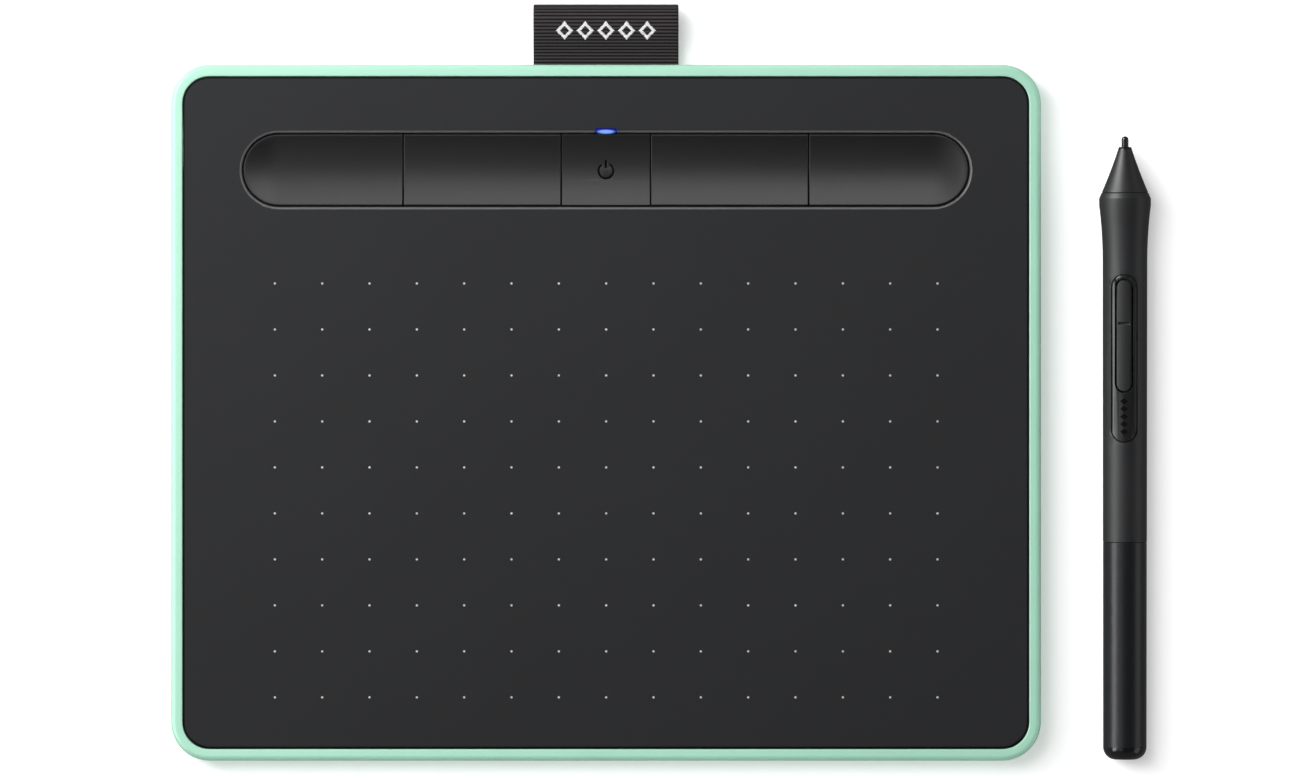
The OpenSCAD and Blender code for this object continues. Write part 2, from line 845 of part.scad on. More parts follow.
module front_barrel() {
    end = split_z + rear_spigot;
    color(charcoal) at_pen() difference() {
        rotate_extrude() difference() {
            union() {
                intersection() {
                    pen_profile();
                    band(0, 10, nose_end + seam, split_z);
                }
                band(0, spigot_r, split_z, end);
                band(0, 4.85, split_z, split_z + seam_stop);
            }
            band(-1, barrel_bore_r, 0, split_z - shoulder_t);
            band(-1, spigot_bore_r, split_z - shoulder_t - 1, end + 1);
        }
        pen_pill(bezel_l, bezel_w, bezel_z, 0, 8);
    }
}

module switch_bezel() {
    bezel_r = grip_r + bezel_proud;
    color(chip_black) at_pen() difference() {
        union() {
            difference() {
                intersection() {
                    tube(bezel_r, barrel_bore_r + 0.02, bezel_z - bezel_l, bezel_z + bezel_l);
                    pen_pill(bezel_l - 2 * bezel_gap, bezel_w - 2 * bezel_gap, bezel_z, 0, 8);
                }
                pen_pill(rocker_l + 2 * rocker_gap, rocker_w + 2 * rocker_gap, rocker_z, 0, 8);
            }
            // Ears that hold the rocker's pin
            for (s = [-1, 1]) translate([s * 2.65, 0, 0])
                pen_box(0.7, 2.3, 3.75, rocker_z - ear_z / 2, rocker_z + ear_z / 2);
        }
        translate([0, pin_y, rocker_z]) rotate([0, 90, 0])
            cylinder(r = pin_r, h = 8, center = true);
    }
}

module side_switch() {
    nub_bottom = dome_top + dome_gap;
    color(charcoal) at_pen() difference() {
        union() {
            intersection() {
                post(0, 0, grip_r + rocker_proud, rocker_z - rocker_l, rocker_z + rocker_l);
                pen_pill(rocker_l, rocker_w, rocker_z, rocker_floor, 8);
            }
            pen_box(rocker_w - 0.1, 2.3, rocker_floor + 0.1, rocker_z - ear_z / 2, rocker_z + ear_z / 2);
            for (s = [-1, 1]) translate([0, nub_bottom, rocker_z + s * dome_arm])
                rotate([-90, 0, 0]) cylinder(r = 0.7, h = rocker_floor + 0.1 - nub_bottom);
        }
        translate([0, pin_y, rocker_z]) rotate([0, 90, 0])
            cylinder(r = pin_r + pin_gap, h = 8, center = true);
        pen_box(rocker_w - 0.75, grip_r - 0.15, 8, groove_z - 0.28, groove_z + 0.28);
    }
}

module switch_pin() {
    color(chip_black) at_pen() translate([0, pin_y, rocker_z]) rotate([0, 90, 0])
        cylinder(r = pin_r, h = 5.9, center = true);
}

module switch_domes() {
    color(steel) at_pen() for (s = [-1, 1])
        translate([0, board_t / 2, rocker_z + s * dome_arm]) rotate([-90, 0, 0])
            cylinder(r = dome_r, h = dome_top - board_t / 2);
}

module ferrite_core() {
    color(chip_black) at_pen() tube(1.9, core_bore_r, 9.5, 19.5);
}

module sensing_coil() {
    color(copper) at_pen() tube(2.7, 1.95, 10.5, 18.5);
}

module pressure_sensor() {
    collar_r = 2.6;
    collar_bore_r = 1.7;
    color(rubber_grey) at_pen() rotate_extrude()
        polygon([
            [collar_bore_r, 22], [collar_r, 22], [collar_r, sensor_front],
            [sensor_r, sensor_front], [sensor_r, sensor_end],
            [0, sensor_end], [0, sensor_front], [collar_bore_r, sensor_front]
        ]);
}

module sensor_cushion() {
    color("#c8c8c8") at_pen()
        post(0, 0, 1.5, chuck_end + nib_travel + 0.05, sensor_front);
}

module pen_chassis() {
    color(rubber_grey) at_pen() difference() {
        tube(chassis_r, chassis_bore_r, sensor_end + 0.3, chassis_end);
        pen_box(10, 0.5, 6, sensor_end, pen_board_z1 + 0.5);
    }
}

module pen_board() {
    color(board_green) at_pen()
        pen_box(pen_board_w, -board_t / 2, board_t / 2, pen_board_z0, pen_board_z1);
}

module around_nibs() {
    for (a = [90, 210, 330]) rotate(a) translate([spare_ring_r, 0, 0]) children();
}

module nib_holder() {
    plug = split_z + rear_spigot;
    color(rubber_grey) at_pen() difference() {
        union() {
            post(0, 0, spigot_bore_r - 0.05, plug - 5.4, plug);
            post(0, 0, holder_r, plug, holder_end);
        }
        around_nibs() post(0, 0, nib_r + spare_gap, spare_z, holder_end + 1);
    }
}

module spare_nibs() {
    color("#8a8b8d") at_pen() around_nibs() post(0, 0, nib_r, spare_z, spare_z + spare_l);
}

module rear_barrel() {
    z0 = split_z + seam;
    z1 = pen_l - end_l;
    color(charcoal) at_pen() rotate_extrude()
        polygon([[rear_bore_r, z0], [split_r - 0.02, z0], [rear_r, z1], [rear_bore_r, z1]]);
}

module barrel_end() {
    z0 = pen_l - end_l;
    color(chip_black) at_pen() difference() {
        rotate_extrude() {
            band(0, rear_bore_r - 0.03, z0 - end_plug, z0);
            band(0, rear_r - end_l, z0, pen_l);
            translate([rear_r - end_l, z0]) quarter(end_l);
        }
        post(0, 0, puller_r, pen_l - puller_depth, pen_l + 1);
    }
}

bottom_cover();
top_cover();
foot(-1, -1);  // foot_front_left
foot(1, -1);  // foot_front_right
foot(-1, 1);  // foot_rear_left
foot(1, 1);  // foot_rear_right
case_screws();
inner_screws();
key_chassis();
key_board();
status_led();
status_light_pipe();
sensor_adhesive();
sensor_board();
shield_plate();
main_board();
main_board_chips();
sensor_ribbon();
key_ribbon();
usb_socket();
usb_tongue();
battery_cell();
battery_pad();
pen_loop();
loop_anchor();
key(0);  // express_key_1
key(1);  // express_key_2
key(2);  // power_button
key(3);  // express_key_3
key(4);  // express_key_4
for (i = [1:5]) {
    key_switch(i - 1);
    key_plunger(i - 1);
}
nib();
nib_chuck();
nose_cone();
front_barrel();
switch_bezel();
side_switch();
switch_pin();
switch_domes();
ferrite_core();
sensing_coil();
pressure_sensor();
sensor_cushion();
pen_chassis();
pen_board();
nib_holder();
spare_nibs();
rear_barrel();
barrel_end();
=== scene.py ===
"""A pen drawing tablet with its pen: the looks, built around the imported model."""

import json
import math
import random

import bmesh
import bpy
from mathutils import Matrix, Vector


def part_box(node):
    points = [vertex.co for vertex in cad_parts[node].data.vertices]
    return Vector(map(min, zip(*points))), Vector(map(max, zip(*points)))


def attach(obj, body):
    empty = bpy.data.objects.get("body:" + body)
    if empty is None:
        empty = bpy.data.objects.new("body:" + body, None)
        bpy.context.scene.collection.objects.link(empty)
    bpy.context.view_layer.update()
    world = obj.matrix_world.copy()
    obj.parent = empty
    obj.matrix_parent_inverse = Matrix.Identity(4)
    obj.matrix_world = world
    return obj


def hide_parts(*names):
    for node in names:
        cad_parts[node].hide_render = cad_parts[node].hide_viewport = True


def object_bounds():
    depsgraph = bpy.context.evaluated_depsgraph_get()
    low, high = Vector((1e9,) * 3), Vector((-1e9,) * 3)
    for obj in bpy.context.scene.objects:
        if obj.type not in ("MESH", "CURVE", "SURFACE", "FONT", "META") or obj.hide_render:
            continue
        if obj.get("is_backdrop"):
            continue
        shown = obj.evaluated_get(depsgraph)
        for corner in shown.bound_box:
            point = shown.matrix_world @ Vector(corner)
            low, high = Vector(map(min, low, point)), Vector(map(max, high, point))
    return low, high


MM = 0.001

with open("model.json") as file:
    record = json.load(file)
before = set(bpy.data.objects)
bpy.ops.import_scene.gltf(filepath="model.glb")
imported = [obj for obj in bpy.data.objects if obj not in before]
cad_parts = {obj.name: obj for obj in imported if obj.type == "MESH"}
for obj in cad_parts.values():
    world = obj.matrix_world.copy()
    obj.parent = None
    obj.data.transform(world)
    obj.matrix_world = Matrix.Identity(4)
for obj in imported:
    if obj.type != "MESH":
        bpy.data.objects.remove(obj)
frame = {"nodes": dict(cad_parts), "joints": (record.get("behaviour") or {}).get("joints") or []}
nodes = frame["nodes"]
cad_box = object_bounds()


# ---- Where things are, from the frame ----


def middle(node):
    """The middle of a node's box."""
    lo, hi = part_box(node)
    return (lo + hi) / 2


CASE_LO, CASE_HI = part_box("bottom_cover")
CASE_MID = (CASE_LO + CASE_HI) / 2
PANEL_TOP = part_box("top_cover")[1].z
LOOP_LO, LOOP_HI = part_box("pen_loop")
ANCHOR_LO, ANCHOR_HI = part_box("loop_anchor")
KEYS_LO, KEYS_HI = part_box("express_key_1")[0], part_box("express_key_4")[1]
LIGHT_LO, LIGHT_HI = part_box("status_light_pipe")
# How far the light's core lies from the front edge, which is about half its depth
LIGHT_CORE = 0.42 * MM
# How far round the keys the panel's rounded edge gets a painted highlight
PAINTED_HIGHLIGHT_MARGIN = Vector((3, 3, 3)) * MM
KEYS = ("express_key_1", "express_key_2", "power_button", "express_key_3", "express_key_4")
PANEL_AND_KEYS = ("top_cover", "status_light_pipe", *KEYS)
PEN_SHELL = (
    "nib", "nose_cone", "front_barrel", "switch_bezel", "side_switch", "rear_barrel", "barrel_end"
)


# ---- Camera, light and floor ----

# The view's middle lies a little to the right of the case's middle and behind it
VIEW_SHIFT = Vector((10.13, 5.23, 0)) * MM
VIEW_WIDTH = 298.7 * MM
LENS = 300
SENSOR = 36
FLOOR_SIZE = 6
FLOOR_GAP = 0.05 * MM
FLOOR_GLOW = 0.38
# The surround's strength at the horizon and overhead, and the share that reflections see
HORIZON = 0.42
CEILING = 0.05
SHEEN_SHARE = 0.4
# Heights on the unit sphere, about 20 and 60 degrees up, between which the light falls off
FALL_FROM = 0.34
FALL_TO = 0.87


def map_range(tree, value, limits, interpolation="LINEAR"):
    """The value mapped from the first two limits to the last two."""
    node = tree.nodes.new("ShaderNodeMapRange")
    node.interpolation_type = interpolation
    for socket, limit in zip(node.inputs[1:5], limits):
        socket.default_value = limit
    tree.links.new(value, node.inputs[0])
    return node.outputs[0]


def make_camera():
    """A view straight down, from so far away that it hardly shows any side."""
    camera = bpy.data.objects.new("camera", bpy.data.cameras.new("camera"))
    camera.data.lens = LENS
    camera.data.sensor_width = SENSOR
    height = VIEW_WIDTH * LENS / SENSOR
    camera.location = Vector((CASE_MID.x, CASE_MID.y, CASE_HI.z + height)) + VIEW_SHIFT
    camera.data.clip_end = 2 * height
    bpy.context.scene.collection.objects.link(camera)
    bpy.context.scene.camera = camera


def softbox(name, place, size, radiance, aim=None, glossy=False, only=()):
    """An area light at place, in metres, that faces aim or the tablet. Radiance 1 looks white.
    Glossy, it shows only as a reflection, and otherwise it only throws light. With nodes named
    in only, it lights nothing else, as a flagged studio light does."""
    light = bpy.data.lights.new(name, "AREA")
    light.shape = "RECTANGLE"
    light.size, light.size_y = size
    light.energy = radiance * math.pi * size[0] * size[1]
    lamp = bpy.data.objects.new(name, light)
    lamp.location = place
    target = CASE_MID if aim is None else Vector(aim)
    lamp.rotation_euler = (target - Vector(place)).to_track_quat("-Z", "Y").to_euler()
    lamp.visible_camera = False
    lamp.visible_diffuse = not glossy
    lamp.visible_glossy = glossy
    bpy.context.scene.collection.objects.link(lamp)
    if only:
        lit = bpy.data.collections.new("lit_by_" + name)
        for node_name in only:
            lit.objects.link(nodes[node_name])
        lamp.light_linking.receiver_collection = lit


def card(name, place, size, radiance, aim=None, only=()):
    """A softbox that shows as a reflection and throws no light."""
    softbox(name, place, size, radiance, aim, glossy=True, only=only)


def make_world():
    """A dim ceiling over a bright horizon, as round a white table, and a white backdrop."""
    world = bpy.data.worlds.new("surround")
    world.use_nodes = True
    world.cycles.sampling_method = "NONE"
    bpy.context.scene.world = world
    tree = world.node_tree
    tree.nodes.clear()
    add, link = tree.nodes.new, tree.links.new
    path = add("ShaderNodeLightPath")
    direction = add("ShaderNodeSeparateXYZ")
    link(add("ShaderNodeTexCoord").outputs["Generated"], direction.inputs[0])
    limits = (FALL_FROM, FALL_TO, HORIZON, CEILING)
    fall = map_range(tree, direction.outputs["Z"], limits, "SMOOTHSTEP")
    share = map_range(tree, path.outputs["Is Glossy Ray"], (0, 1, 1, SHEEN_SHARE))
    strength = add("ShaderNodeMath")
    strength.operation = "MULTIPLY"
    link(fall, strength.inputs[0])
    link(share, strength.inputs[1])
    around, white = add("ShaderNodeBackground"), add("ShaderNodeBackground")
    link(strength.outputs[0], around.inputs["Strength"])
    white.inputs["Strength"].default_value = 1.0
    for background in (around, white):
        background.inputs["Color"].default_value = (1, 1, 1, 1)
    choose = add("ShaderNodeMixShader")
    output = add("ShaderNodeOutputWorld")
    link(path.outputs["Is Camera Ray"], choose.inputs[0])
    link(around.outputs[0], choose.inputs[1])
    link(white.outputs[0], choose.inputs[2])
    link(choose.outputs[0], output.inputs[0])


def make_floor():
    """A white table that glows a little, so that it is white all round its soft shadows."""
    bpy.ops.mesh.primitive_plane_add(size=FLOOR_SIZE, location=(0, 0, -FLOOR_GAP))
    floor = bpy.context.object
    floor.name = "floor"
    material, _, shader = start_material("floor_white")
    shader.inputs["Base Color"].default_value = (0.93, 0.93, 0.93, 1)
    shader.inputs["Roughness"].default_value = 0.8
    shader.inputs["Specular IOR Level"].default_value = 0.0
    shader.inputs["Emission Color"].default_value = (1, 1, 1, 1)
    shader.inputs["Emission Strength"].default_value = FLOOR_GLOW
    floor.data.materials.append(material)
    floor.visible_glossy = False
    floor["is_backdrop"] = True


def light_the_scene():
    """The surround, the lights, and the cards that show as reflections."""
    make_world()
    # Soft light from almost overhead, a little to the left and behind: short shadows
    softbox("overhead", (-0.26, 0.26, 1.5), (0.5, 0.5), 6.3)
    # A wide window on the left, near enough to make the left side lighter
    softbox("left_window", (-0.36, 0.24, 0.42), (0.4, 0.8), 5.5)
    # A low card on the right lifts the sides that face it
    softbox("right_card", (0.8, 0, 0.12), (1.6, 0.2), 1.8, (0, 0, 0.12))
    # Long reflections from the left, from above and from the right
    card("left_card", (-0.7, 0.1, 0.48), (1.4, 0.46), 5.0, (0, 0.1, 0.48))
    card("left_ceiling", (-0.55, 0, 1.0), (0.8, 1.6), 0.6, (-0.55, 0, 0))
    card("right_wall", (0.9, 0, 0.3), (1.6, 0.5), 0.8, (0, 0, 0.3))
    # Cards flagged off from all but the parts whose sheen they make
    card("rear_ceiling", (0, 1.12, 1.0), (1.6, 1.76), 3.6, (0, 1.12, 0), PANEL_AND_KEYS)
    card("rear_right_wing", (0.75, 0.9, 1.0), (0.8, 1.2), 2.2, (0.75, 0.9, 0), PANEL_AND_KEYS)
    card("rear_left_card", (-0.6, 0.62, 0.5), (0.5, 0.5), 21.0, only=PEN_SHELL)
    card("near_left_card", (-0.28, 0.24, 0.45), (0.25, 0.25), 9.8, only=("top_cover",))
    bpy.context.scene.view_settings.view_transform = "Standard"


# ---- Materials ----


def start_material(name):
    """A named material's tree, emptied, with its shader and output."""
    material = bpy.data.materials.get(name) or bpy.data.materials.new(name)
    material.use_nodes = True
    tree = material.node_tree
    tree.nodes.clear()
    shader = tree.nodes.new("ShaderNodeBsdfPrincipled")
    output = tree.nodes.new("ShaderNodeOutputMaterial")
    tree.links.new(shader.outputs[0], output.inputs[0])
    return material, tree, shader


class Tree:
    """A material's node tree, with short calls for the nodes that materials share."""

    def __init__(self, name):
        self.material, self.tree, self.shader = start_material(name)
        self.place = self.add("ShaderNodeTexCoord").outputs["Object"]

    def add(self, kind, **settings):
        """A new node with those settings."""
        node = self.tree.nodes.new(kind)
        for key, value in settings.items():
            setattr(node, key, value)
        return node

    def link(self, a, b):
        self.tree.links.new(a, b)

    def stretched(self, stretch):
        """The object's coordinates, scaled along each axis."""
        mapping = self.add("ShaderNodeMapping")
        mapping.inputs["Scale"].default_value = stretch
        self.link(self.place, mapping.inputs[0])
        return mapping.outputs[0]

    def noise(self, size_mm, detail=2.0, roughness=0.5, stretch=None):
        """Noise whose lumps are about size_mm across."""
        node = self.add("ShaderNodeTexNoise")
        node.inputs["Scale"].default_value = 1 / (size_mm * MM)
        node.inputs["Detail"].default_value = detail
        node.inputs["Roughness"].default_value = roughness
        self.link(self.stretched(stretch) if stretch else self.place, node.inputs["Vector"])
        return node.outputs["Fac"]

    def wave(self, pitch_mm, direction, distortion=0.0):
        """A sine across the object, one cycle each pitch_mm."""
        node = self.add("ShaderNodeTexWave", bands_direction=direction)
        # The texture has 20 / 2 pi cycles in a unit
        node.inputs["Scale"].default_value = 2 * math.pi / 20 / (pitch_mm * MM)
        node.inputs["Distortion"].default_value = distortion
        self.link(self.place, node.inputs["Vector"])
        return node.outputs["Fac"]

    def spread(self, value, low, high, from_low=0.3, from_high=0.7):
        """The value mapped to the range low to high, from that of a noise by default."""
        return map_range(self.tree, value, (from_low, from_high, low, high))

    def level(self, steep, flat):
        """0 where the surface's normal leans so that its height is steep, 1 where it is flat."""
        normal = self.add("ShaderNodeSeparateXYZ")
        self.link(self.add("ShaderNodeNewGeometry").outputs["Normal"], normal.inputs[0])
        return self.spread(normal.outputs["Z"], 0, 1, steep, flat)

    def steps(self, value, *operations):
        """A vector after each operation in turn, given by its name and its second operand."""
        for operation, operand in operations:
            step = self.add("ShaderNodeVectorMath", operation=operation)
            self.link(value, step.inputs[0])
            if operand is not None:
                step.inputs[1].default_value = operand
            value = step.outputs[0]
        return value

    def within(self, centre, half):
        """1 inside an upright shaft with that centre and those half widths, 0 outside it."""
        away = self.steps(self.place, ("SUBTRACT", centre), ("ABSOLUTE", None), ("DIVIDE", half))
        parts = self.add("ShaderNodeSeparateXYZ")
        self.link(away, parts.inputs[0])
        most = self.add("ShaderNodeMath", operation="MAXIMUM")
        self.link(parts.outputs["X"], most.inputs[0])
        self.link(parts.outputs["Y"], most.inputs[1])
        return self.spread(most.outputs[0], 1, 0, 0.99, 1.0)

    def mix(self, fac, a, b):
        """Colour a where fac is 0, and b where it is 1."""
        node = self.add("ShaderNodeMix", data_type="RGBA")
        self.link(fac, node.inputs["Factor"])
        for socket, colour in ((node.inputs[6], a), (node.inputs[7], b)):
            if isinstance(colour, bpy.types.NodeSocket):
                self.link(colour, socket)
            else:
                socket.default_value = (*colour, 1)
        return node.outputs[2]

    def bump(self, height, strength, depth_mm, under=None):
        """A normal that follows a height, on top of the normal under it."""
        node = self.add("ShaderNodeBump")
        node.inputs["Strength"].default_value = strength
        node.inputs["Distance"].default_value = depth_mm * MM
        self.link(height, node.inputs["Height"])
        if under is not None:
            self.link(under, node.inputs["Normal"])
        return node.outputs[0]

    def set(self, **values):
        """Shader inputs by name, with _ for a space: numbers, colours or sockets."""
        for key, value in values.items():
            socket = self.shader.inputs[key.replace("_", " ")]
            if isinstance(value, bpy.types.NodeSocket):
                self.link(value, socket)
            elif isinstance(value, tuple):
                socket.default_value = (*value, 1)
            else:
                socket.default_value = value


def shade(colour, factor):
    """The colour, darker or lighter."""
    return tuple(c * factor for c in colour)


def moulded(name, colour, roughness, grain_mm, grain_depth_mm, vary=0.05, uneven=0.05, **extra):
    """Moulded plastic: a grained skin, with a little unevenness in colour and gloss."""
    t = Tree(name)
    cloud = t.noise(14, 3)
    grain = t.noise(grain_mm, 2.5, 0.6)
    t.set(
        Base_Color=t.mix(t.spread(cloud, 0, 1), shade(colour, 1 - vary), shade(colour, 1 + vary)),
        Roughness=t.spread(grain, roughness - uneven, roughness + uneven),
        Normal=t.bump(grain, 1, grain_depth_mm),
        **extra,
    )


def brushed(name, colour, roughness, stretch=(1, 30, 30), pitch_mm=2.5):
    """Plated or brushed metal with fine lines along one axis."""
    t = Tree(name)
    lines = t.noise(pitch_mm, 3, 0.6, stretch)
    t.set(
        Base_Color=t.mix(t.spread(lines, 0, 1), shade(colour, 0.9), shade(colour, 1.05)),
        Metallic=1.0,
        Roughness=t.spread(lines, roughness - 0.06, roughness + 0.08),
        Normal=t.bump(lines, 0.4, 0.01),
    )


def mint_shell():
    """Pale green plastic under a thin clear coat."""
    moulded(
        "mint_shell", (0.365, 0.660, 0.508), 0.34, 0.25, 0.0012, 0.02, 0.03,
        Coat_Weight=0.15, Coat_Roughness=0.12,
    )


def black_panel():
    """A fine paper-like texture on the flat top. The rounded edge round the keys is painted pale,
    a painted highlight; its walls and the panel's other edges are painted darker, painted shade.
    """
    t = Tree("black_panel")
    tooth = t.noise(0.16, 3, 0.65)
    cloud = t.noise(30, 2)
    flat = t.level(0.9, 0.996)
    colour = (0.0042, 0.0045, 0.0053)
    skin = t.mix(t.spread(cloud, 0, 1), shade(colour, 0.96), shade(colour, 1.04))
    rough = t.add("ShaderNodeMix")
    t.link(flat, rough.inputs["Factor"])
    rough.inputs[2].default_value = 0.3
    t.link(t.spread(tooth, 0.54, 0.64), rough.inputs[3])
    # Painted highlight: only the rounded edge round the keys is painted pale. Painted shade: its
    # walls are painted darker, and so are the panel's other edges
    reach = (KEYS_HI - KEYS_LO) / 2 + PAINTED_HIGHLIGHT_MARGIN
    near_keys = t.within((KEYS_LO + KEYS_HI) / 2, reach)
    edge_highlight_wall_shade = t.mix(t.level(0.25, 0.5), shade(colour, 0.6), (0.088, 0.089, 0.093))
    edge = t.mix(near_keys, shade(colour, 0.8), edge_highlight_wall_shade)
    t.set(
        Base_Color=t.mix(flat, edge, skin),
        Roughness=rough.outputs[0],
        Specular_IOR_Level=0.195,
        Normal=t.bump(tooth, 1, 0.004),
    )


def key_plastic():
    """The keys' sandblasted texture, coarser than the panel's, with edges painted paler as a
    painted highlight and walls painted dark as painted shade in the gaps.
    """
    t = Tree("key_plastic")
    grit = t.noise(0.22, 2.5, 0.7)
    speck = t.noise(0.5, 2, 0.5)
    colour = (0.0048, 0.0044, 0.0046)
    skin = t.mix(t.spread(speck, 0, 1), shade(colour, 0.85), shade(colour, 1.2))
    # Painted highlight on the rounded edges, which are painted pale, and painted shade on the
    # walls into the gaps, which are painted dark
    edge_highlight_wall_shade = t.mix(t.level(0.3, 0.5), shade(colour, 0.4), (0.03, 0.029, 0.0295))
    t.set(
        Base_Color=t.mix(t.level(0.8, 0.9), edge_highlight_wall_shade, skin),
        Roughness=t.spread(grit, 0.36, 0.46),
        Specular_IOR_Level=0.4,
        Normal=t.bump(grit, 1, 0.012),
    )


def light_pipe():
    """Lit from below by the status LED: a pale core in a deep blue bar."""
    t = Tree("light_pipe")
    # The core lies along the front edge, over the LED
    core = Vector(((LIGHT_LO.x + LIGHT_HI.x) / 2, LIGHT_LO.y + LIGHT_CORE, LIGHT_HI.z))
    size = ((LIGHT_HI.x - LIGHT_LO.x) / 2, 1.3 * LIGHT_CORE, 1)
    away = t.steps(t.place, ("SUBTRACT", core), ("DIVIDE", size))
    distance = t.add("ShaderNodeVectorMath", operation="LENGTH")
    t.link(away, distance.inputs[0])
    glow = t.spread(distance.outputs["Value"], 1, 0, 0.5, 0.95)
    colour = t.mix(glow, (0.001, 0.002, 0.12), (0.24, 0.42, 1.0))
    t.set(
        Base_Color=(0.002, 0.003, 0.04),
        Roughness=0.25,
        Specular_IOR_Level=0.15,
        Emission_Color=colour,
        Emission_Strength=1.0,
        Normal=t.bump(t.noise(0.4, 2), 0.5, 0.004),
    )


def woven_ribbon():
    """The ribs are in the mesh, with their height as the attribute rib, which paints the crests
    lighter, a painted highlight, and the valleys near black, painted shade. The warp crosses
    them.
    """
    t = Tree("woven_ribbon")
    rib = t.add("ShaderNodeAttribute", attribute_name="rib").outputs["Fac"]
    warp = t.wave(0.3, "X", 0.4)
    fuzz = t.noise(0.12, 3, 0.7)
    # Painted shade in the valleys between the ribs, and a painted highlight on their crests
    low = t.mix(warp, (0.0015, 0.0014, 0.0015), (0.003, 0.0028, 0.0029))
    high = t.mix(warp, (0.031, 0.0262, 0.0278), (0.052, 0.0442, 0.0468))
    t.set(
        Base_Color=t.mix(t.spread(rib, 0, 1, 0.5, 0.98), low, high),
        Roughness=0.62,
        Specular_IOR_Level=0.2,
        Sheen_Weight=0.06,
        Sheen_Roughness=0.4,
        Normal=t.bump(warp, 0.6, 0.03, t.bump(fuzz, 0.6, 0.02)),
    )


def white_thread():
    """Bright woven thread, twisted along X."""
    t = Tree("white_thread")
    twist = t.wave(0.22, "DIAGONAL", 0.5)
    t.set(
        Base_Color=t.mix(twist, (0.62, 0.62, 0.62), (0.9, 0.9, 0.9)),
        Roughness=0.5,
        Sheen_Weight=0.2,
        Normal=t.bump(twist, 0.5, 0.02),
    )


def pen_plastic():
    """The barrel's soft-touch skin."""
    t = Tree("pen_plastic")
    grain = t.noise(0.14, 3, 0.65)
    cloud = t.noise(9, 2)
    colour = (0.0118, 0.0122, 0.0134)
    t.set(
        Base_Color=t.mix(t.spread(cloud, 0, 1), shade(colour, 0.93), shade(colour, 1.07)),
        Roughness=t.spread(grain, 0.42, 0.52),
        Specular_IOR_Level=0.4,
        Normal=t.bump(grain, 1, 0.006),
    )


def pen_trim_plastic():
    """The bezel round the side switch: smoother and glossier than the barrel."""
    moulded("pen_trim_plastic", (0.0112, 0.0114, 0.0122), 0.24, 0.16, 0.002, 0.05, 0.04)


def pen_rear_plastic():
    """A grittier, glossier skin than the front's, slightly blue."""
    t = Tree("pen_rear_plastic")
    grain = t.noise(0.2, 3, 0.7)
    colour = (0.0085, 0.0090, 0.0106)
    t.set(
        Base_Color=t.mix(t.spread(grain, 0, 1), shade(colour, 0.8), shade(colour, 1.25)),
        Roughness=t.spread(grain, 0.26, 0.36),
        Specular_IOR_Level=0.38,
        Normal=t.bump(grain, 1, 0.012),
    )


def circuit_board():
    """Solder mask over faint copper tracks."""
    t = Tree("circuit_board")
    track = t.add("ShaderNodeTexBrick", offset=0.37, squash=1.6, squash_frequency=3)
    track.inputs["Scale"].default_value = 1 / (9 * MM)
    track.inputs["Mortar Size"].default_value = 0.035
    t.link(t.place, track.inputs["Vector"])
    mask = t.mix(track.outputs["Fac"], (0.012, 0.085, 0.035), (0.03, 0.16, 0.06))
    t.set(
        Base_Color=mask,
        Roughness=0.32,
        Normal=t.bump(track.outputs["Fac"], 0.5, 0.03),
    )


def coil_copper():
    """Enamelled wire wound round the core."""
    t = Tree("coil_copper")
    turns = t.wave(0.3, "Y")
    # Painted shade: the colour follows the turns and is darker in the grooves between them
    t.set(
        Base_Color=t.mix(turns, (0.16, 0.045, 0.012), (0.6, 0.24, 0.08)),
        Metallic=0.9,
        Roughness=0.3,
        Normal=t.bump(turns, 1, 0.08),
    )


def make_materials():
    """All materials but the dots' ink, each under the name of the slot it fills."""
    mint_shell()
    black_panel()
    key_plastic()
    light_pipe()
    woven_ribbon()
    white_thread()
    pen_plastic()
    pen_trim_plastic()
    pen_rear_plastic()
    circuit_board()
    coil_copper()
    moulded("nib_plastic", (0.012, 0.012, 0.013), 0.2, 0.2, 0.0015, 0.05, 0.03)
    moulded("pen_end_plastic", (0.0075, 0.0075, 0.0085), 0.14, 0.4, 0.0006, 0.05, 0.03)
    moulded("foot_rubber", (0.05, 0.052, 0.055), 0.75, 0.3, 0.02)
    moulded("mark_paint", (0.002, 0.002, 0.0025), 0.55, 0.2, 0.004, Specular_IOR_Level=0.1)
    moulded("inner_plastic", (0.045, 0.048, 0.054), 0.5, 0.3, 0.006)
    moulded("chip_plastic", (0.009, 0.0095, 0.0105), 0.45, 0.18, 0.006)
    moulded("led_lens", (0.75, 0.8, 0.95), 0.12, 0.4, 0.001)
    moulded("adhesive_film", (0.68, 0.64, 0.45), 0.35, 2.5, 0.02)
    moulded("ribbon_film", (0.42, 0.15, 0.04), 0.3, 1.5, 0.01)
    moulded("foam_pad", (0.04, 0.04, 0.04), 0.9, 0.35, 0.09)
    moulded("ferrite", (0.04, 0.04, 0.046), 0.6, 0.15, 0.012)
    brushed("screw_steel", (0.51, 0.52, 0.55), 0.3)
    brushed("shield_steel", (0.45, 0.47, 0.5), 0.34)
    brushed("socket_steel", (0.55, 0.56, 0.59), 0.26)
    brushed("battery_foil", (0.42, 0.43, 0.45), 0.38, (1, 1, 1), 6)


# ---- Softened edges on the CAD nodes ----

